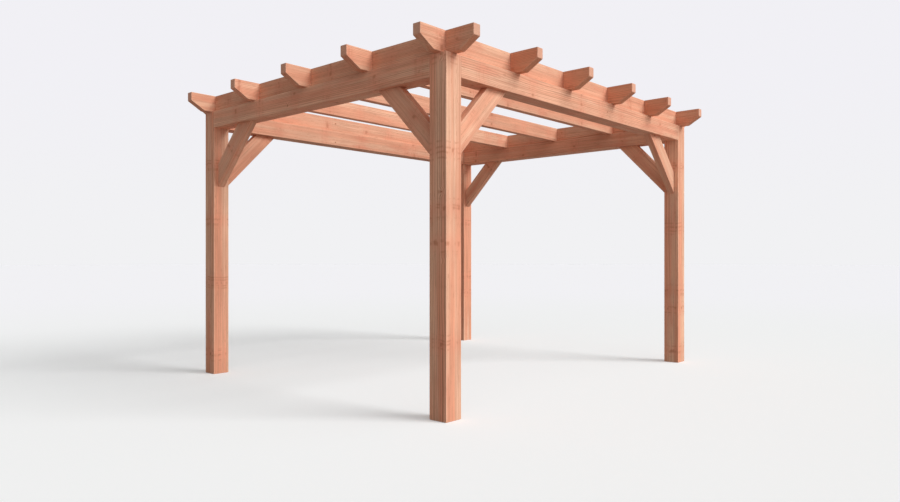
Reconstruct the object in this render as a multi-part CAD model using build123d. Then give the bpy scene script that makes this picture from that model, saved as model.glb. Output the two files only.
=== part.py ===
from build123d import *
import os

# An open timber pergola. Four square posts carry a ring of beams, with a knee brace under each beam end.
# On the beams lies a grid of thinner rafters: five the long way, halved over two that cross them at the ends.
# Every rafter runs past the beams to a cut tail, and short stubs of the same timber fill in the tails along
# the front and the back. All lengths are in millimetres. The ground is z = 0, and -Y is the front.

# Plan, over the outer faces of the posts
FRAME_LENGTH = 3430.0
FRAME_DEPTH = 2830.0

# Posts and beams
POST_WIDTH = 140.0
BEAM_WIDTH = 140.0
BEAM_DEPTH = 140.0
HEADROOM = 2120.0

# Rafters and their tails
RAFTER_THICKNESS = 62.0
RAFTER_DEPTH = 140.0
TAIL_REACH = 185.0
TAIL_FLAT = 65.0
NOSE_HEIGHT = 70.0
NOTCH_CLEARANCE = 1.0

# Knee braces of the same timber, cut at 45 degrees at both ends
BRACE_THICKNESS = RAFTER_THICKNESS
BRACE_DEPTH = RAFTER_DEPTH
BRACE_LEG = 507.0

# Planed arrises, and how far a cutting solid runs past what it cuts
EDGE_EASE = 3.0
CUT_OVERRUN = 10.0

# Spaces from one tail to the next, corner to corner
SIDE_BAYS = 4
LONG_BAYS = 5

# Heights
BEAM_TOP = HEADROOM + BEAM_DEPTH
NOSE_FOOT = RAFTER_DEPTH - NOSE_HEIGHT
HALVING = RAFTER_DEPTH / 2

# Places in plan
HALF_LENGTH = FRAME_LENGTH / 2
HALF_DEPTH = FRAME_DEPTH / 2
POST_X = HALF_LENGTH - POST_WIDTH / 2
POST_Y = HALF_DEPTH - POST_WIDTH / 2
BEAM_X = HALF_LENGTH - BEAM_WIDTH / 2
BEAM_Y = HALF_DEPTH - BEAM_WIDTH / 2
POST_FACE_X = HALF_LENGTH - POST_WIDTH
POST_FACE_Y = HALF_DEPTH - POST_WIDTH
LONG_PITCH = 2 * POST_X / LONG_BAYS
SIDE_PITCH = 2 * POST_Y / SIDE_BAYS
RAFTER_PLACES = [SIDE_PITCH * bay - POST_Y for bay in range(SIDE_BAYS + 1)]
STUB_PLACES = [LONG_PITCH * bay - POST_X for bay in range(1, LONG_BAYS)]

ENDS = {"left": -1, "right": 1}
SIDES = {"front": -1, "back": 1}
STANDING = (Align.CENTER, Align.CENTER, Align.MIN)
HANGING = (Align.CENTER, Align.CENTER, Align.MAX)


def eased(edges):
    """The timber that has these arrises, with them planed off."""
    return chamfer(edges, EDGE_EASE)


def plank(points, thickness):
    """A flat piece with this outline in the XZ plane, centred on y = 0."""
    outline = Plane.XZ * Polyline(*points, close=True)
    return extrude(make_face(outline), amount=thickness / 2, both=True)


def post():
    """One square post, from the ground to the tops of the beams."""
    timber = Box(POST_WIDTH, POST_WIDTH, BEAM_TOP, align=STANDING)
    return eased(timber.edges().filter_by(Axis.Z))


def beam(length):
    """One beam along X, long enough to fit between two posts."""
    timber = Box(length, BEAM_WIDTH, BEAM_DEPTH, align=STANDING)
    return eased(timber.edges().filter_by(Axis.X))


def rafter(half_span):
    """One rafter along X with both its tails: a plumb nose, a slope back under it, then the flat underside."""
    tip = half_span + TAIL_REACH
    heel = half_span + TAIL_FLAT
    underside = [(-tip, NOSE_FOOT), (-heel, 0), (heel, 0), (tip, NOSE_FOOT)]
    top = [(tip, RAFTER_DEPTH), (-tip, RAFTER_DEPTH)]
    return eased(plank(underside + top, RAFTER_THICKNESS).edges())


def halved(timber, places, align):
    """A rafter with half its depth cut away wherever another one crosses it, above or below mid-depth."""
    width = RAFTER_THICKNESS + NOTCH_CLEARANCE
    across = RAFTER_THICKNESS + 2 * CUT_OVERRUN
    notch = Box(width, across, HALVING + CUT_OVERRUN, align=align)
    for x in places:
        timber -= Pos(x, 0, HALVING) * notch
    return timber


def stub_tail():
    """A short tail along +X: its square root meets a rafter, and it leaves the beam's face at x = 0."""
    root = -(POST_WIDTH - RAFTER_THICKNESS) / 2
    underside = [(root, 0), (TAIL_FLAT, 0), (TAIL_REACH, NOSE_FOOT)]
    top = [(TAIL_REACH, RAFTER_DEPTH), (root, RAFTER_DEPTH)]
    timber = plank(underside + top, RAFTER_THICKNESS)
    free_edges = timber.edges().group_by(Axis.X)[1:]
    return eased([edge for group in free_edges for edge in group])


def brace():
    """A knee brace along +X: one end flat on a post at x = 0, the other flat under a beam at z = 0."""
    inner_leg = BRACE_LEG - BRACE_DEPTH * 2 ** 0.5
    outline = [(0, -BRACE_LEG), (BRACE_LEG, 0), (inner_leg, 0), (0, -inner_leg)]
    timber = plank(outline, BRACE_THICKNESS)
    return eased(timber.edges().filter_by(Axis((0, 0, 0), (1, 0, 1))))


def post_and_beam_nodes():
    """The four posts and the ring of beams between them, by name."""
    nodes = {}
    for side, toward_y in SIDES.items():
        nodes[f"{side}_beam"] = Pos(0, toward_y * BEAM_Y, HEADROOM) * beam(2 * POST_FACE_X)
        for end, toward_x in ENDS.items():
            nodes[f"{side}_{end}_post"] = Pos(toward_x * POST_X, toward_y * POST_Y, 0) * post()
    for end, toward_x in ENDS.items():
        side_beam = Rot(0, 0, 90) * beam(2 * POST_FACE_Y)
        nodes[f"{end}_beam"] = Pos(toward_x * BEAM_X, 0, HEADROOM) * side_beam
    return nodes


def rafter_nodes():
    """The long rafters from front to back, and the two end rafters that cross under them, by name."""
    nodes = {}
    for number, y in enumerate(RAFTER_PLACES, start=1):
        long_rafter = halved(rafter(HALF_LENGTH), [-POST_X, POST_X], HANGING)
        nodes[f"rafter_{number}"] = Pos(0, y, BEAM_TOP) * long_rafter
    for end, toward_x in ENDS.items():
        end_rafter = Rot(0, 0, 90) * halved(rafter(HALF_DEPTH), RAFTER_PLACES, STANDING)
        nodes[f"{end}_end_rafter"] = Pos(toward_x * POST_X, 0, BEAM_TOP) * end_rafter
    return nodes


def stub_nodes():
    """The stub tails along the front and the back, by name."""
    nodes = {}
    for side, toward_y in SIDES.items():
        outward = Rot(0, 0, toward_y * 90)
        for number, x in enumerate(STUB_PLACES, start=1):
            nodes[f"{side}_tail_{number}"] = Pos(x, toward_y * HALF_DEPTH, BEAM_TOP) * outward * stub_tail()
    return nodes


def brace_nodes():
    """Two braces at every post, one under each beam that meets it, by name."""
    nodes = {}
    for side, toward_y in SIDES.items():
        inward_y = Rot(0, 0, -toward_y * 90)
        for end, toward_x in ENDS.items():
            inward_x = Rot(0, 0, 90 + toward_x * 90)
            under_long = Pos(toward_x * POST_FACE_X, toward_y * POST_Y, HEADROOM) * inward_x
            under_side = Pos(toward_x * POST_X, toward_y * POST_FACE_Y, HEADROOM) * inward_y
            nodes[f"{side}_beam_{end}_brace"] = under_long * brace()
            nodes[f"{end}_beam_{side}_brace"] = under_side * brace()
    return nodes


def main():
    """Write every piece to a file of its own."""
    os.makedirs("parts", exist_ok=True)
    nodes = post_and_beam_nodes() | rafter_nodes() | stub_nodes() | brace_nodes()
    for name, piece in nodes.items():
        export_step(piece, f"parts/{name}.step")


main()
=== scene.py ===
"""An open timber pergola in oiled reddish softwood, standing in a pale studio.

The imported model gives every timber's place and size. Each timber is drawn again as a planed section with
eased arrises that is carried along its length, and every point of it knows where it lay in the log. So the
growth rings run through the faces, the sloped cuts and the end grain alike. Lengths are in metres, +Z is up
and -Y is the front.
"""
import logging
import math
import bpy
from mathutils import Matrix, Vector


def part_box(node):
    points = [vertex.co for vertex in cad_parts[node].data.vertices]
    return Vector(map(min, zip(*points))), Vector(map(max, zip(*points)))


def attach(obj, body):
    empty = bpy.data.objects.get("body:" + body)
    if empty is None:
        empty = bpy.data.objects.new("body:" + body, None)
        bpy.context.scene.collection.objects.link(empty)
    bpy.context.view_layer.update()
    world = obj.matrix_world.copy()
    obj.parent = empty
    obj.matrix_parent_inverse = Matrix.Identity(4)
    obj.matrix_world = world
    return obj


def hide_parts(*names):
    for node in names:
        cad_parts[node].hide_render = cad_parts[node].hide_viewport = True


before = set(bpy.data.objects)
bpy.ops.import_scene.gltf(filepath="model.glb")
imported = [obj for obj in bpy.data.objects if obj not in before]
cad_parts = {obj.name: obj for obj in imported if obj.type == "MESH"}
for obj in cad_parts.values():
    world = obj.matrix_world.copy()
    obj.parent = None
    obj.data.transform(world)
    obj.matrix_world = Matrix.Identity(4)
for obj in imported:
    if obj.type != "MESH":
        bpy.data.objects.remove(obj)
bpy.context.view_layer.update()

import zlib
from dataclasses import dataclass, field
from enum import Enum
from typing import Any, Iterable, Union

import bpy
import numpy as np
from mathutils import Vector

LOG = logging.getLogger("pergola")
BODY = "root"
ENDS = ("left", "right")
# A right angle, its diagonal on unit legs, and the corners of a section
QUARTER = math.pi / 2
DIAGONAL = math.sqrt(2)
CORNERS = 4
# The value that noise and its masks lie around
MIDDLE = 0.5

Array = np.ndarray
Triple = tuple[float, float, float]
Colour = Triple
Row = Triple
Span = tuple[float, float]
Number = Union[float, "Wire"]
Paint = Union[Colour, "Wire"]


class Run(Enum):
    """The way that a straight timber runs, as its own axes: along it, across it and up its section."""

    RIGHT = ((1, 0, 0), (0, 1, 0), (0, 0, 1))
    BACK = ((0, 1, 0), (-1, 0, 0), (0, 0, 1))
    FRONT = ((0, -1, 0), (1, 0, 0), (0, 0, 1))
    UP = ((0, 0, 1), (1, 0, 0), (0, 1, 0))

    @property
    def axes(self) -> Array:
        """The three axes, as the rows of an array."""
        return np.array(self.value, dtype=float)


SIDES = {"front": Run.FRONT, "back": Run.BACK}


class Wire:
    """One value in a shader, for use in Python sums: every operation adds a Math node."""

    def __init__(self, graph: "Graph", socket: bpy.types.NodeSocket) -> None:
        """Wrap a socket of a graph's node."""
        self.graph = graph
        self.socket = socket

    def maths(self, operation: str, *values: Number) -> "Wire":
        """Add a Math node.

        Args:
            operation: The Math node's operation.
            values: Its inputs in order, numbers or wires.

        Returns:
            The node's value.
        """
        inputs = dict(enumerate(values))
        return self.graph.node("ShaderNodeMath", {"operation": operation}, inputs)["Value"]

    def __add__(self, other: Number) -> "Wire":
        """self + other"""
        return self.maths("ADD", self, other)

    def __sub__(self, other: Number) -> "Wire":
        """self - other"""
        return self.maths("SUBTRACT", self, other)

    def __rsub__(self, other: Number) -> "Wire":
        """other - self"""
        return self.maths("SUBTRACT", other, self)

    def __mul__(self, other: Number) -> "Wire":
        """self * other"""
        return self.maths("MULTIPLY", self, other)

    def __truediv__(self, other: Number) -> "Wire":
        """self / other"""
        return self.maths("DIVIDE", self, other)

    def __rtruediv__(self, other: Number) -> "Wire":
        """other / self"""
        return self.maths("DIVIDE", other, self)

    __radd__ = __add__
    __rmul__ = __mul__

    def part(self) -> "Wire":
        """What is left of the value above the whole number below it."""
        return self.maths("FRACT", self)

    def size(self) -> "Wire":
        """The value without its sign."""
        return self.maths("ABSOLUTE", self)

    def step(self, low: float, high: float) -> "Wire":
        """A smooth step from 0 at low to 1 at high, or down from 1 to 0 where low is the larger.

        Args:
            low: The value that gives 0.
            high: The value that gives 1.

        Returns:
            The stepped value.
        """
        settings = {"interpolation_type": "SMOOTHSTEP"}
        inputs = {"Value": self, "From Min": min(low, high), "From Max": max(low, high)}
        rising = self.graph.node("ShaderNodeMapRange", settings, inputs)["Result"]
        return rising if low < high else 1 - rising


class Graph:
    """A node tree that is filled by calls."""

    def __init__(self, tree: bpy.types.NodeTree) -> None:
        """Empty the tree and keep it."""
        tree.nodes.clear()
        self.tree = tree

    def node(self, kind: str, settings: dict[str, Any], inputs: dict[Any, Any]) -> dict[str, Wire]:
        """Add a node.

        Args:
            kind: The node's type.
            settings: Its properties, set first.
            inputs: Values or wires for its sockets, by name, identifier or number.

        Returns:
            Its outputs by identifier.
        """
        node = self.tree.nodes.new(kind)
        for name, value in settings.items():
            setattr(node, name, value)
        sockets = {socket.identifier: socket for socket in node.inputs}
        sockets.update({socket.name: socket for socket in node.inputs if socket.name not in sockets})
        for key, value in inputs.items():
            socket = node.inputs[key] if isinstance(key, int) else sockets[key]
            if isinstance(value, Wire):
                self.tree.links.new(value.socket, socket)
            else:
                socket.default_value = value
        return {socket.identifier: Wire(self, socket) for socket in node.outputs}

    def attribute(self, name: str) -> dict[str, Wire]:
        """The outputs of an attribute that the mesh carries."""
        return self.node("ShaderNodeAttribute", {"attribute_name": name}, {})

    def vector(self, operation: str, *values: Any) -> dict[str, Wire]:
        """The outputs of a Vector Math node."""
        return self.node("ShaderNodeVectorMath", {"operation": operation}, dict(enumerate(values)))

    def mix(self, share: Number, first: Paint, second: Paint) -> Wire:
        """A colour that goes from the first to the second as the share goes from 0 to 1."""
        inputs = {"Factor_Float": share, "A_Color": opaque(first), "B_Color": opaque(second)}
        return self.node("ShaderNodeMix", {"data_type": "RGBA"}, inputs)["Result_Color"]


def opaque(colour: Paint) -> Union[tuple[float, ...], Wire]:
    """A colour with its alpha, or a wire as it is."""
    return colour if isinstance(colour, Wire) else (*colour, 1.0)


@dataclass(frozen=True)
class Pattern:
    """Soft noise in the log: cycles per metre along and across it, finer layers, and its mask's edges."""

    along: float
    across: float
    detail: float
    low: float = 0.0
    high: float = 1.0

    def noise(self, graph: Graph, place: Wire) -> dict[str, Wire]:
        """Add the noise.

        Args:
            graph: The graph to fill.
            place: The place in the log.

        Returns:
            The noise as Fac, around the middle value, and as Color, three of them.
        """
        scaled = graph.vector("MULTIPLY", place, (self.along, self.across, self.across))["Vector"]
        return graph.node("ShaderNodeTexNoise", {}, {"Vector": scaled, "Scale": 1.0, "Detail": self.detail})

    def mask(self, graph: Graph, place: Wire) -> Wire:
        """The noise, stepped from its low edge to its high edge."""
        return self.noise(graph, place)["Fac"].step(self.low, self.high)

    def line(self, graph: Graph, place: Wire) -> Wire:
        """Thin lines where the noise crosses its middle value, stepped by the distance from it."""
        return (self.noise(graph, place)["Fac"] - MIDDLE).size().step(self.low, self.high)


@dataclass(frozen=True)
class Knots:
    """Small knots, scattered through the log. Their edges are in knot radii."""

    spacing: float = 0.24
    radius: float = 0.009
    swirl: Span = (4.0, 0.0)
    core: Span = (1.0, 0.75)
    rim: Span = (0.6, 0.95)

    def marks(self, graph: Graph, log: Wire) -> dict[str, Wire]:
        """Add the knots.

        Args:
            graph: The graph to fill.
            log: The place in the log.

        Returns:
            Masks: swirl, where the grain goes round a knot, core, the knot, and rim, the bark on its edge.
        """
        place = graph.node("ShaderNodeTexVoronoi", {}, {"Vector": log, "Scale": 1 / self.spacing})
        radii = place["Distance"] * (self.spacing / self.radius)
        core = radii.step(*self.core)
        return {"swirl": radii.step(*self.swirl), "core": core, "rim": core * radii.step(*self.rim)}


@dataclass(frozen=True)
class Rings:
    """Growth rings round the pith, with the sway of the trunk and a push beside each knot."""

    width: float = 0.0060
    sway: Pattern = Pattern(0.8, 2.0, 2.0)
    sway_reach: float = 0.030
    jitter: Pattern = Pattern(1.2, 35.0, 1.0)
    jitter_rings: float = 0.6
    swirl_rings: float = 1.6
    late_rise: Span = (0.38, 0.90)
    late_fall: Span = (1.0, 0.93)

    def bend(self, graph: Graph, log: Wire) -> Wire:
        """The place in the log, with the sway of the trunk added across it."""
        noise = self.sway.noise(graph, log)["Color"]
        sway = graph.vector("SUBTRACT", noise, (MIDDLE, MIDDLE, MIDDLE))["Vector"]
        reach = (0.0, self.sway_reach, self.sway_reach)
        return graph.vector("MULTIPLY_ADD", sway, reach, log)["Vector"]

    def latewood(self, graph: Graph, bend: Wire, swirl: Wire) -> Wire:
        """Add the rings: the distance from the pith in ring widths, of which the part above a whole counts.

        Args:
            graph: The graph to fill.
            bend: The swayed place in the log.
            swirl: Where the grain goes round a knot.

        Returns:
            A mask that rises slowly through each ring and falls off fast at its end.
        """
        across = graph.vector("MULTIPLY", bend, (0.0, 1.0, 1.0))["Vector"]
        pith_distance = graph.vector("LENGTH", across)["Value"]
        jitter = self.jitter.noise(graph, bend)["Fac"]
        turns = pith_distance / self.width + self.jitter_rings * jitter + self.swirl_rings * swirl
        ring_place = turns.part()
        return ring_place.step(*self.late_rise) * ring_place.step(*self.late_fall)


@dataclass(frozen=True)
class Whorls:
    """Rows of branch marks across the timber, one for each year that the tree grew taller."""

    spacing: float = 0.48
    drift: float = 0.12
    blush: Span = (0.09, 0.0)
    rung_spacing: float = 0.034
    rung_drift: float = 0.6
    rung_edges: Span = (0.30, 0.04)
    rung_reach: Span = (0.080, 0.040)
    rung_shift: Pattern = Pattern(3.0, 16.0, 0.0)
    rung_break: Pattern = Pattern(6.0, 28.0, 1.0, 0.43, 0.63)
    spot_reach: Span = (0.022, 0.004)
    spot: Pattern = Pattern(14.0, 32.0, 0.0, 0.54, 0.78)

    def gap(self, graph: Graph, row: Wire) -> Wire:
        """How far a value is from the nearest of marks that lie about one apart."""
        settings = {"voronoi_dimensions": "1D"}
        return graph.node("ShaderNodeTexVoronoi", settings, {"W": row, "Scale": 1.0})["Distance"]

    def marks(self, graph: Graph, log: Wire, cloud: Wire) -> dict[str, Wire]:
        """Add the whorls.

        Args:
            graph: The graph to fill.
            log: The place in the log.
            cloud: Noise that lets a row wander.

        Returns:
            Masks: blush, the red wood round a row, rung, short dashes across it, and spot, its branch ends.
        """
        along = graph.node("ShaderNodeSeparateXYZ", {}, {"Vector": log})["X"]
        row_gap = self.gap(graph, along / self.spacing + self.drift * cloud) * self.spacing
        shift = self.rung_shift.noise(graph, log)["Fac"]
        rung = self.gap(graph, along / self.rung_spacing + self.rung_drift * shift).step(*self.rung_edges)
        return {
            "blush": row_gap.step(*self.blush),
            "rung": rung * self.rung_break.mask(graph, log) * row_gap.step(*self.rung_reach),
            "spot": row_gap.step(*self.spot_reach) * self.spot.mask(graph, log),
        }


@dataclass(frozen=True)
class Figure:
    """The streaks and specks of planed softwood, beside its rings."""

    streak: Pattern = Pattern(1.2, 62.0, 2.0, 0.36, 0.66)
    ribbon: Pattern = Pattern(0.45, 14.0, 1.0, 0.36, 0.64)
    vein: Pattern = Pattern(0.22, 46.0, 1.0, 0.040, 0.008)
    blotch: Pattern = Pattern(2.4, 13.0, 2.0, 0.54, 0.74)
    fleck: Pattern = Pattern(16.0, 260.0, 1.0, 0.64, 0.72)
    fibre: Pattern = Pattern(4.0, 190.0, 3.0)
    cloud: Pattern = Pattern(3.0, 5.0, 3.0)

    def marks(self, graph: Graph, log: Wire, bend: Wire) -> dict[str, Wire]:
        """Add the figure.

        Args:
            graph: The graph to fill.
            log: The place in the log.
            bend: The swayed place in the log, for what follows the rings.

        Returns:
            Masks by name, and the plain noise of fibre and cloud.
        """
        return {
            "streak": self.streak.mask(graph, bend),
            "ribbon": self.ribbon.mask(graph, bend),
            "vein": self.vein.line(graph, bend),
            "blotch": self.blotch.mask(graph, log),
            "fleck": self.fleck.mask(graph, log),
            "fibre": self.fibre.noise(graph, log)["Fac"],
            "cloud": self.cloud.noise(graph, log)["Fac"],
        }


@dataclass(frozen=True)
class Shares:
    """How much of its own colour each mark has where it is full."""

    streak: float = 0.34
    blotch: float = 0.48
    heart: float = 0.50
    late: float = 0.40
    late_streak: float = 0.24
    vein: float = 0.28
    fleck: float = 0.55
    knot: float = 0.80
    bark: float = 0.60
    blush: float = 0.28
    spot: float = 0.55
    cut: float = 0.62
    arris: float = 0.16


@dataclass(frozen=True)
class Surface:
    """How an oiled face is lit: changes of its level, its relief and its gloss."""

    cloud_level: float = 0.34
    fibre_level: float = 0.38
    tone_level: float = 0.04
    late_height: float = 0.2
    fibre_height: float = 0.7
    fleck_depth: float = 0.6
    knot_height: float = 0.5
    relief: float = 0.0008
    relief_strength: float = 0.35
    rough: float = 0.74
    fibre_rough: float = 0.14
    late_gloss: float = 0.06
    end_rough: float = 0.12
    specular: float = 0.04


@dataclass(frozen=True)
class SoftwoodFinish:
    """Planed and oiled reddish softwood, cut from a log: rings, streaks, small knots and end grain."""

    slot: str
    rings: Rings = Rings()
    grain: float = 1.0
    banding: float = 0.7
    level: float = 1.05
    rung_share: float = 0.20
    knots: Knots = Knots()
    whorls: Whorls = Whorls()
    figure: Figure = Figure()
    shares: Shares = Shares()
    surface: Surface = Surface()
    early: Colour = (0.858, 0.376, 0.234)
    honey: Colour = (0.910, 0.612, 0.426)
    dusk: Colour = (0.700, 0.322, 0.214)
    heartwood: Colour = (0.770, 0.300, 0.160)
    coral: Colour = (0.790, 0.310, 0.200)
    late: Colour = (0.500, 0.210, 0.128)
    cut: Colour = (0.750, 0.440, 0.325)
    knot: Colour = (0.460, 0.165, 0.090)
    bark: Colour = (0.280, 0.100, 0.058)

    def marks(self, graph: Graph) -> dict[str, Wire]:
        """Add all that marks the wood.

        Args:
            graph: The graph to fill.

        Returns:
            Masks by name, with the attributes tone, heart, arris and end among them.
        """
        log = graph.attribute("log")["Vector"]
        marks = {name: graph.attribute(name)["Fac"] for name in ("tone", "heart", "arris", "end")}
        bend = self.rings.bend(graph, log)
        marks |= self.knots.marks(graph, log)
        marks |= self.figure.marks(graph, log, bend)
        marks |= self.whorls.marks(graph, log, marks["cloud"])
        marks["late"] = self.rings.latewood(graph, bend, marks["swirl"])
        return marks

    def colour(self, graph: Graph, marks: dict[str, Wire]) -> Wire:
        """Lay one colour over another, from the pale wood up to the worn arris, and shade the whole.

        Args:
            graph: The graph to fill.
            marks: The masks by name.

        Returns:
            The colour.
        """
        shares, surface = self.shares, self.surface
        late_share = shares.late + shares.late_streak * marks["streak"]
        face = 1 - marks["end"]
        layers = [
            (shares.streak * marks["streak"], self.dusk),
            (shares.blotch * marks["blotch"], self.coral),
            (shares.heart * marks["heart"], self.heartwood),
            (self.grain * marks["late"] * late_share, self.late),
            (self.grain * shares.vein * marks["vein"], self.late),
            (shares.fleck * marks["fleck"] * face, self.late),
            (shares.knot * marks["core"], self.knot),
            (shares.bark * marks["rim"], self.bark),
            (shares.blush * marks["blush"], self.coral),
            (self.rung_share * marks["rung"], self.knot),
            (shares.spot * marks["spot"], self.knot),
            (shares.cut * marks["end"], self.cut),
            (shares.arris * marks["arris"] * face, self.honey),
        ]
        wood = graph.mix(MIDDLE + self.banding * (marks["ribbon"] - MIDDLE), self.early, self.honey)
        for share, colour in layers:
            wood = graph.mix(share, wood, colour)
        shade = self.level + surface.cloud_level * (marks["cloud"] - MIDDLE)
        shade = shade + surface.fibre_level * (marks["fibre"] - MIDDLE) + surface.tone_level * marks["tone"]
        scaling = {"Vector": wood, "Scale": shade}
        return graph.node("ShaderNodeVectorMath", {"operation": "SCALE"}, scaling)["Vector"]

    def material(self) -> bpy.types.Material:
        """Build the material.

        Returns:
            A material that reads the attributes log, tone, heart, arris and end.
        """
        material = bpy.data.materials.new(self.slot)
        material.use_nodes = True
        graph = Graph(material.node_tree)
        marks, surface = self.marks(graph), self.surface
        height = surface.late_height * marks["late"] + surface.fibre_height * marks["fibre"]
        height = height - surface.fleck_depth * marks["fleck"] + surface.knot_height * marks["core"]
        relief = {"Strength": surface.relief_strength, "Distance": surface.relief, "Height": height}
        rough = surface.rough + surface.fibre_rough * (marks["fibre"] - MIDDLE)
        rough = rough - surface.late_gloss * marks["late"] + surface.end_rough * marks["end"]
        inputs = {
            "Base Color": self.colour(graph, marks),
            "Roughness": rough,
            "Normal": graph.node("ShaderNodeBump", {}, relief)["Normal"],
            "Specular IOR Level": surface.specular,
        }
        shader = graph.node("ShaderNodeBsdfPrincipled", {}, inputs)
        graph.node("ShaderNodeOutputMaterial", {}, {"Surface": shader["BSDF"]})
        return material


@dataclass(frozen=True)
class Sawing:
    """Where a timber may have lain in its log: its turn off a diagonal, its distance from the pith and its
    place along the log. Its tone is off the middle by up to the tone spread.
    """

    turn_spread: float = 0.4
    pith_distance: Span = (0.16, 0.34)
    log_place: Span = (5.0, 50.0)
    tone_spread: float = 1.0


@dataclass(frozen=True)
class Planing:
    """How a sawn timber is planed: the round of its arrises and the band beside them that wears."""

    radius: float = 0.003
    band: float = 0.007
    arc_points: int = 5
    end_points: int = 4


@dataclass(frozen=True)
class Outline:
    """A timber's side view: its underside and top at places along it, with straight lines in between."""

    along: list[float]
    low: list[float]
    high: list[float]

    @classmethod
    def through(cls, rows: list[Row]) -> "Outline":
        """The side view through rows of place, underside and top."""
        return cls(*map(list, zip(*rows)))


@dataclass
class Timber:
    """One timber: a planed section carried along its own line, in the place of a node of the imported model."""

    node: str
    axes: Array
    origin: Array
    half_width: float
    outline: Outline
    slants: Span = (0.0, 0.0)
    heart: float = 0.0
    batch: int = 0
    planing: Planing = field(default_factory=Planing)
    sawing: Sawing = field(default_factory=Sawing)

    def stations(self) -> dict[str, Array]:
        """Place the cross-sections.

        At each end the section draws in along a quarter circle: a turn t from 0 to a right angle gives an
        inset of radius * (1 - cos t), at radius * (1 - sin t) from the cut. A last section on the cut itself,
        drawn in by the worn band, lets the wear fade over the end grain.

        Returns:
            Arrays with one entry for each section: along, inset, slant, worn and end.
        """
        cut = self.planing
        turn = np.linspace(0.0, QUARTER, cut.end_points)[::-1]
        back = np.concatenate([[0.0], cut.radius * (1 - np.sin(turn)), [cut.radius + cut.band]])
        inset = np.concatenate([[cut.radius + cut.band], cut.radius * (1 - np.cos(turn)), [0.0]])
        worn = np.concatenate([[0.0], np.ones(cut.end_points), [0.0]])
        end = np.concatenate([[1.0], np.sin(turn), [0.0]])
        middle = np.array(self.outline.along[1:-1])
        first, last = self.outline.along[0], self.outline.along[-1]
        none = np.zeros(len(middle))
        lean = [np.full(len(back), self.slants[0]), none, np.full(len(back), self.slants[1])]
        return {
            "along": np.concatenate([first + back, middle, (last - back)[::-1]]),
            "inset": np.concatenate([inset, none, inset[::-1]]),
            "slant": np.concatenate(lean),
            "worn": np.concatenate([worn, none, worn[::-1]]),
            "end": np.concatenate([end, none, end[::-1]]),
        }

    def section(self) -> dict[str, Array]:
        """Lay out the points round a cross-section.

        Each corner is a quarter circle of the arris radius, with one more point on each flat beside it, a
        worn band away. A point is its corner's centre, plus the radius times (cos t, sin t), plus the slide
        along the flat.

        Returns:
            Arrays with one entry for each point: side_y and side_z (which corner), y and z (from the
            corner's centre), and worn.
        """
        cut = self.planing
        arc = np.linspace(0.0, QUARTER, cut.arc_points)
        turn = np.concatenate([arc[:1], arc, arc[-1:]])
        slide = np.concatenate([[-cut.band], np.zeros(cut.arc_points), [cut.band]])
        corner = np.repeat(np.arange(CORNERS), len(turn))
        turn = np.tile(turn, CORNERS) + corner * QUARTER
        slide = np.tile(slide, CORNERS)
        return {
            "side_y": np.array([1, -1, -1, 1])[corner],
            "side_z": np.array([1, 1, -1, -1])[corner],
            "y": cut.radius * np.cos(turn) - slide * np.sin(turn),
            "z": cut.radius * np.sin(turn) + slide * np.cos(turn),
            "worn": (slide == 0.0).astype(float),
        }

    def points(self) -> dict[str, Array]:
        """Carry the section along the line.

        With h half the width, b the underside and t the top at a station, all drawn in by its inset, a point
        lies at y = side * (h - radius) + y of the section, z = b + radius or t - radius + z of the section,
        and along = the station's place + its slant * z.

        Returns:
            Arrays by station and section point: place (own axes), worn and end.
        """
        rows, ring, radius = self.stations(), self.section(), self.planing.radius
        inset = rows["inset"][:, None]
        low = np.interp(rows["along"], self.outline.along, self.outline.low)[:, None] + inset
        high = np.interp(rows["along"], self.outline.along, self.outline.high)[:, None] - inset
        y = ring["side_y"] * (self.half_width - inset - radius) + ring["y"]
        z = np.where(ring["side_z"] > 0, high - radius, low + radius) + ring["z"]
        along = rows["along"][:, None] + rows["slant"][:, None] * z
        worn = np.maximum(rows["worn"][:, None], ring["worn"] * (rows["end"][:, None] < 1))
        return {
            "place": np.stack([along, y, z], axis=-1),
            "worn": worn,
            "end": np.broadcast_to(rows["end"][:, None], worn.shape),
        }

    def build(self) -> bpy.types.Object:
        """Make the mesh, with its log coordinates, and put it in the node's place.

        Returns:
            The finished object, at the origin, with its place in its mesh.
        """
        made = self.points()
        rows, count = made["worn"].shape
        own = made["place"].reshape(-1, 3)
        places = self.origin + own @ self.axes
        index = np.arange(rows * count).reshape(rows, count)
        onward = np.roll(index, -1, axis=1)
        quads = np.stack([index[:-1], onward[:-1], onward[1:], index[1:]], axis=-1).reshape(-1, 4)
        caps = [index[0, ::-1].tolist(), index[-1].tolist()]
        mesh = bpy.data.meshes.new(f"{self.node}_timber")
        mesh.from_pydata(places.tolist(), [], quads.tolist() + caps)
        mesh.polygons.foreach_set("use_smooth", np.ones(len(mesh.polygons), dtype=bool))
        mesh.normals_split_custom_set_from_vertices(self.normals(places, quads, index).tolist())
        self.mark(mesh, own, made["worn"].ravel(), made["end"].ravel())
        piece = bpy.data.objects.new(mesh.name, mesh)
        bpy.context.scene.collection.objects.link(piece)
        return piece

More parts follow.
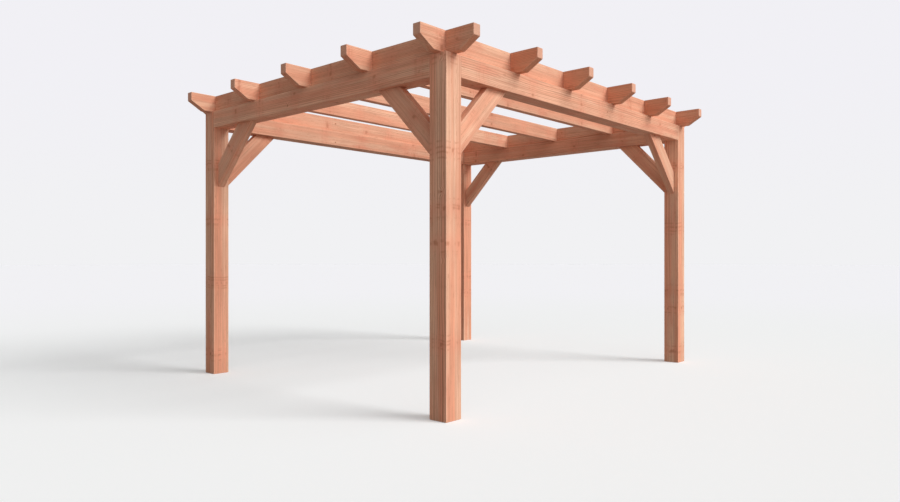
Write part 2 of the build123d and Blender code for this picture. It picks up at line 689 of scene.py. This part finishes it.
    def normals(self, places: Array, quads: Array, index: Array) -> Array:
        """Point normals that the large faces rule, so that flats stay flat and arrises turn smoothly.

        Args:
            places: The points.
            quads: The corners of the faces along the timber.
            index: Point numbers by station and section point.

        Returns:
            For each point, the sum of its faces' normals times their areas, at unit length.
        """
        corners = places[quads]
        facing = np.cross(corners[:, 2] - corners[:, 0], corners[:, 3] - corners[:, 1])
        total = np.zeros_like(places)
        np.add.at(total, quads.ravel(), np.repeat(facing, quads.shape[1], axis=0))
        for ring, way in ((index[0], -1.0), (index[-1], 1.0)):
            spoke = places[ring] - places[ring].mean(axis=0)
            total[ring] += way * np.cross(spoke, np.roll(spoke, -1, axis=0)).sum(axis=0)
        return total / np.linalg.norm(total, axis=1, keepdims=True)

    def mark(self, mesh: bpy.types.Mesh, own: Array, worn: Array, end: Array) -> None:
        """Write on each point where it lay in the log, and how worn and how far on the end grain it is.

        Args:
            mesh: The mesh to mark.
            own: The points on the timber's own axes.
            worn: How far each point is on an arris.
            end: How far each point is on the end grain.
        """
        sawing = self.sawing
        chance = np.random.default_rng(zlib.crc32(f"{self.node} {self.batch}".encode()))
        diagonal = QUARTER / 2 + QUARTER * chance.integers(CORNERS)
        turn = diagonal + chance.uniform(-sawing.turn_spread, sawing.turn_spread)
        pith = chance.uniform(*sawing.pith_distance) * np.array([np.cos(turn), np.sin(turn)])
        middle = (np.min(self.outline.low) + np.max(self.outline.high)) / 2
        lain = own + np.array([chance.uniform(*sawing.log_place), pith[0], pith[1] - middle])
        log = mesh.attributes.new("log", "FLOAT_VECTOR", "POINT")
        log.data.foreach_set("vector", lain.astype(np.float32).ravel())
        tone = np.full(len(worn), chance.uniform(-sawing.tone_spread, sawing.tone_spread))
        heart = np.full(len(worn), self.heart)
        for name, values in (("tone", tone), ("heart", heart), ("arris", worn), ("end", end)):
            layer = mesh.attributes.new(name, "FLOAT", "POINT")
            layer.data.foreach_set("value", values.astype(np.float32))


def node_box(node: str) -> Array:
    """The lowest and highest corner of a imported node, as two rows."""
    return np.array([tuple(corner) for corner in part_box(node)])


def own_box(node: str, run: Run) -> Array:
    """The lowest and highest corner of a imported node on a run's own axes, as two rows."""
    return np.sort(node_box(node) @ run.axes.T, axis=0)


def straight_timber(
    node: str, run: Run, outline: Union[Outline, None] = None, heart: float = 0.0
) -> Timber:
    """A timber that fills a node's box, with square ends unless an outline is given.

    Args:
        node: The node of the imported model.
        run: The way it runs.
        outline: Its side view, on the run's own axes.
        heart: How much of it is heartwood.

    Returns:
        The timber.
    """
    corners = own_box(node, run)
    if outline is None:
        outline = Outline(corners[:, 0].tolist(), [corners[0, 2]] * 2, [corners[1, 2]] * 2)
    origin = corners[:, 1].mean() * run.axes[1]
    return Timber(node, run.axes, origin, np.ptp(corners[:, 1]) / 2, outline, heart=heart)


@dataclass
class SubAssembly:
    """A group of timbers of one finish, sawn from one batch of logs."""

    finish: SoftwoodFinish
    batch: int

    def timbers(self) -> Iterable[Timber]:
        """The timbers of the group."""
        raise NotImplementedError

    def build(self) -> list[bpy.types.Object]:
        """Make every piece, and let it ride on the body in its node's place.

        Returns:
            The pieces.
        """
        pieces = []
        for timber in self.timbers():
            timber.batch = self.batch
            piece = timber.build()
            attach(piece, BODY)
            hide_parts(timber.node)
            pieces.append(piece)
        return pieces

    def dress(self, pieces: list[bpy.types.Object]) -> None:
        """Give every piece the group's finish.

        Args:
            pieces: The pieces that build returned.
        """
        material = self.finish.material()
        for piece in pieces:
            piece.data.materials.append(material)


class Posts(SubAssembly):
    """The four square posts."""

    def timbers(self) -> Iterable[Timber]:
        """One upright timber for each corner."""
        for side in SIDES:
            for end in ENDS:
                yield straight_timber(f"{side}_{end}_post", Run.UP)


class Beams(SubAssembly):
    """The ring of beams between the posts."""

    def timbers(self) -> Iterable[Timber]:
        """Two beams each way."""
        for side in SIDES:
            yield straight_timber(f"{side}_beam", Run.RIGHT)
        for end in ENDS:
            yield straight_timber(f"{end}_beam", Run.BACK)


@dataclass
class Rafters(SubAssembly):
    """The rafters and the stub tails: cut tails at their free ends, and halvings where they cross."""

    long_count: int = 5
    stub_count: int = 4
    slope_run: float = 0.120
    nose_height: float = 0.070
    clearance: float = 0.0005
    draft: float = 0.0004
    guard: float = 0.003
    long_heart: float = 0.12
    end_heart: float = 0.35
    stub_heart: float = 1.0

    def tail_outline(self, start: float, tip: float, low: float, high: float) -> list[Row]:
        """Side view of a cut tail towards its tip: the flat underside, then the slope up to the nose.

        Args:
            start: Where the straight timber begins.
            tip: The nose's place.
            low: The underside.
            high: The top.

        Returns:
            Rows of place, underside and top.
        """
        way = math.copysign(1.0, tip - start)
        heel = tip - way * self.slope_run
        foot = high - self.nose_height
        rise = (foot - low) * self.guard / self.slope_run
        turned = [(heel - way * self.guard, low, high), (heel + way * self.guard, low + rise, high)]
        return [*turned, (tip, foot, high)]

    def notch(self, centre: float, half: float, low: Span, high: Span) -> list[Row]:
        """Side view across one halving, from one full section to the next.

        Args:
            centre: The middle of the timber that crosses.
            half: Half of that timber's thickness.
            low: The underside outside the halving and in it.
            high: The top outside the halving and in it.

        Returns:
            Rows of place, underside and top.
        """
        reach = half + self.clearance
        inner = reach - self.draft
        steps = [(reach + self.guard, 0), (reach, 0), (inner, 1), (inner - self.guard, 1)]
        before = [(centre - offset, low[inside], high[inside]) for offset, inside in steps]
        after = [(centre + offset, low[inside], high[inside]) for offset, inside in steps[::-1]]
        return before + after

    def rafter(self, node: str, run: Run, crossed_by: list[str], from_above: bool, heart: float) -> Timber:
        """A rafter with two tails, halved where others cross it.

        Args:
            node: Its node.
            run: The way it runs.
            crossed_by: The nodes that cross it.
            from_above: Whether the halvings are cut into its top.
            heart: How much of it is heartwood.

        Returns:
            The timber.
        """
        (start, _, low), (tip, _, high) = own_box(node, run)
        middle = (low + high) / 2
        lows = (low, low) if from_above else (low, middle)
        highs = (high, middle) if from_above else (high, high)
        rows = self.tail_outline(tip, start, low, high)[::-1]
        for near, far in sorted(tuple(own_box(name, run)[:, 0]) for name in crossed_by):
            rows += self.notch((near + far) / 2, (far - near) / 2, lows, highs)
        rows += self.tail_outline(start, tip, low, high)
        return straight_timber(node, run, Outline.through(rows), heart)

    def stub(self, node: str, run: Run) -> Timber:
        """A stub tail with a square root.

        Args:
            node: Its node.
            run: The way it points.

        Returns:
            The timber.
        """
        (root, _, low), (tip, _, high) = own_box(node, run)
        rows = [(root, low, high), *self.tail_outline(root, tip, low, high)]
        return straight_timber(node, run, Outline.through(rows), self.stub_heart)

    def timbers(self) -> Iterable[Timber]:
        """The long rafters, the two end rafters, and the stubs at the front and at the back."""
        long_ones = [f"rafter_{number}" for number in range(1, self.long_count + 1)]
        end_ones = [f"{end}_end_rafter" for end in ENDS]
        for node in long_ones:
            yield self.rafter(node, Run.RIGHT, end_ones, from_above=False, heart=self.long_heart)
        for node in end_ones:
            yield self.rafter(node, Run.BACK, long_ones, from_above=True, heart=self.end_heart)
        for side, run in SIDES.items():
            for number in range(1, self.stub_count + 1):
                yield self.stub(f"{side}_tail_{number}", run)


@dataclass
class KneeBraces(SubAssembly):
    """The braces between posts and beams, cut at 45 degrees at both ends."""

    depth: float = 0.140

    def brace(self, node: str, run: Run) -> Timber:
        """One brace.

        Its middle line leaves the post at half the sum of its two legs below the beam. With q up the
        section, the cut on the post lies at along = q - half and the cut under the beam at along = half - q.

        Args:
            node: Its node.
            run: The way that its beam runs.

        Returns:
            The timber.
        """
        corners = node_box(node)
        centre = corners.mean(axis=0)
        inward = -math.copysign(1.0, centre @ run.axes[0]) * run.axes[0]
        rise = np.array([0.0, 0.0, 1.0])
        along = (inward + rise) / DIAGONAL
        up = (rise - inward) / DIAGONAL
        across = np.cross(up, along)
        leg = corners[1, 2] - corners[0, 2]
        middle_leg = leg - self.depth / DIAGONAL
        corner = centre - leg / 2 * inward
        corner[2] = corners[1, 2]
        origin = corner + middle_leg / 2 * (inward - rise)
        half = middle_leg / DIAGONAL
        outline = Outline([-half, half], [-self.depth / 2] * 2, [self.depth / 2] * 2)
        half_width = np.ptp(corners @ across) / 2
        return Timber(node, np.array([along, across, up]), origin, half_width, outline, slants=(1.0, -1.0))

    def timbers(self) -> Iterable[Timber]:
        """Two braces at each post."""
        for side in SIDES:
            for end in ENDS:
                yield self.brace(f"{side}_beam_{end}_brace", Run.RIGHT)
                yield self.brace(f"{end}_beam_{side}_brace", Run.BACK)


@dataclass(frozen=True)
class Studio:
    """The pale floor and backdrop, the light and the camera.

    A broad sun shines from the front. The sky is bright towards the front, dimmer towards the back and almost
    dark at the sides and overhead. Rays from the camera meet a pale backdrop instead of it.
    """

    floor_radius: float = 90.0
    floor_points: int = 96
    floor_seen: float = 0.830
    floor_bounce: Colour = (0.370, 0.312, 0.285)
    floor_glow: float = 0.244
    floor_near: Colour = (0.980, 0.994, 0.996)
    floor_far: Colour = (1.0, 1.0, 1.030)
    floor_change: Span = (4.0, 14.0)
    backdrop_low: Colour = (0.880, 0.880, 0.896)
    backdrop_high: Colour = (0.880, 0.872, 0.912)
    backdrop_change: Span = (0.0, 0.25)
    sky_around: Colour = (0.060, 0.058, 0.057)
    sky_front: Colour = (1.25, 1.25, 1.25)
    sky_back: Colour = (0.409, 0.397, 0.389)
    sun_way: Triple = (-0.42, 1.0, -0.85)
    sun_strength: float = 1.94
    sun_width: float = 31.0
    camera_place: Triple = (-4.903, -4.300, 1.008)
    camera_yaw: float = 0.7301
    camera_reach: float = 360.0
    focal_pixels: float = 709.43
    image_width: float = 900.0
    image_height: float = 502.0
    horizon_row: float = 256.86

    def seen(self, graph: Graph) -> Wire:
        """1 on rays that show a surface as it looks, and 0 on rays that carry its light."""
        rays = graph.node("ShaderNodeLightPath", {}, {})
        either = rays["Is Camera Ray"] + rays["Is Glossy Ray"] + rays["Is Transmission Ray"]
        return either.maths("MINIMUM", either, 1.0)

    def finish_graph(self, graph: Graph, output: str, light: Wire, look: Wire) -> None:
        """End a graph in its output.

        Args:
            graph: The graph to fill.
            output: The type of its output node.
            light: The shader on rays that carry light.
            look: The shader on rays that show how it looks.
        """
        both = {0: self.seen(graph), 1: light, 2: look}
        surface = graph.node("ShaderNodeMixShader", {}, both)["Shader"]
        graph.node(output, {}, {"Surface": surface})

    def floor_finish(self) -> bpy.types.Material:
        """A pale floor: it carries little light back, and it looks a little brighter than its light alone.

        Returns:
            The material.
        """
        material = bpy.data.materials.new("pale_floor")
        material.use_nodes = True
        graph = Graph(material.node_tree)
        place = graph.node("ShaderNodeTexCoord", {}, {})["Object"]
        distance = graph.vector("LENGTH", place)["Value"]
        tint = graph.mix(distance.step(*self.floor_change), self.floor_near, self.floor_far)
        pale = graph.vector("MULTIPLY", tint, (self.floor_seen,) * 3)["Vector"]
        plain = graph.node("ShaderNodeBsdfDiffuse", {}, {"Color": opaque(self.floor_bounce)})
        shown = graph.node("ShaderNodeBsdfDiffuse", {}, {"Color": pale})
        glow = graph.node("ShaderNodeEmission", {}, {"Color": tint, "Strength": self.floor_glow})
        lifted = graph.node("ShaderNodeAddShader", {}, {0: shown["BSDF"], 1: glow["Emission"]})
        self.finish_graph(graph, "ShaderNodeOutputMaterial", plain["BSDF"], lifted["Shader"])
        return material

    def build_floor(self) -> None:
        """A wide disc: each rim point is the radius times (cos t, sin t), for t round the circle."""
        turn = np.linspace(0.0, math.tau, self.floor_points, endpoint=False)
        rim = self.floor_radius * np.stack([np.cos(turn), np.sin(turn), 0 * turn], axis=-1)
        mesh = bpy.data.meshes.new("floor")
        mesh.from_pydata(rim.tolist(), [], [list(range(self.floor_points))])
        mesh.materials.append(self.floor_finish())
        floor = bpy.data.objects.new("floor", mesh)
        bpy.context.scene.collection.objects.link(floor)

    def build_sun(self) -> None:
        """A broad sun from the front."""
        lamp = bpy.data.lights.new("key", "SUN")
        lamp.energy = self.sun_strength
        lamp.angle = math.radians(self.sun_width)
        key = bpy.data.objects.new("key", lamp)
        key.rotation_euler = Vector(self.sun_way).to_track_quat("-Z", "Y").to_euler()
        bpy.context.scene.collection.objects.link(key)

    def build_sky(self) -> None:
        """A sky for light, brightest towards the front, and a backdrop for what the camera sees of it."""
        world = bpy.data.worlds.new("studio")
        world.use_nodes = True
        graph = Graph(world.node_tree)
        way = graph.node("ShaderNodeTexCoord", {}, {})["Generated"]
        toward = graph.node("ShaderNodeSeparateXYZ", {}, {"Vector": way})
        height = toward["Z"].step(*self.backdrop_change)
        backdrop = graph.mix(height, self.backdrop_low, self.backdrop_high)
        softbox = graph.mix(-1 * toward["Y"], self.sky_around, self.sky_front)
        softbox = graph.mix(toward["Y"], softbox, self.sky_back)
        look = graph.node("ShaderNodeBackground", {}, {"Color": backdrop, "Strength": 1.0})
        light = graph.node("ShaderNodeBackground", {}, {"Color": softbox, "Strength": 1.0})
        self.finish_graph(graph, "ShaderNodeOutputWorld", light["Background"], look["Background"])
        bpy.context.scene.world = world

    def build_camera(self) -> None:
        """A level camera at the photograph's place, with the horizon on the photograph's row."""
        data = bpy.data.cameras.new("camera")
        data.sensor_fit = "HORIZONTAL"
        data.lens = self.focal_pixels * data.sensor_width / self.image_width
        data.shift_y = (self.horizon_row - self.image_height / 2) / self.image_width
        data.clip_end = self.camera_reach
        camera = bpy.data.objects.new("camera", data)
        camera.location = self.camera_place
        camera.rotation_euler = (QUARTER, 0.0, self.camera_yaw - QUARTER)
        bpy.context.scene.collection.objects.link(camera)
        bpy.context.scene.camera = camera

    def build(self) -> None:
        """Make the whole studio."""
        self.build_floor()
        self.build_sun()
        self.build_sky()
        self.build_camera()
        bpy.context.scene.view_settings.view_transform = "Standard"


def main() -> None:
    """Build and dress the pergola, report its pieces, then make the studio round it."""
    logging.basicConfig(level=logging.INFO, format="%(message)s")
    post_finish = SoftwoodFinish(
        "post_timber", Rings(width=0.0095), grain=1.3, banding=0.8, level=1.11, rung_share=0.38
    )
    groups = [
        Posts(post_finish, batch=22),
        Beams(SoftwoodFinish("beam_timber", banding=0.45), batch=23),
        Rafters(SoftwoodFinish("rafter_timber", banding=0.5), batch=14),
        KneeBraces(SoftwoodFinish("brace_timber", grain=0.5, banding=0.4, level=1.03), batch=7),
    ]
    for group in groups:
        pieces = group.build()
        group.dress(pieces)
        for piece in pieces:
            LOG.info("%s: %d faces, %s", piece.name, len(piece.data.polygons), group.finish.slot)
    Studio().build()


if __name__ == "__main__":
    main()
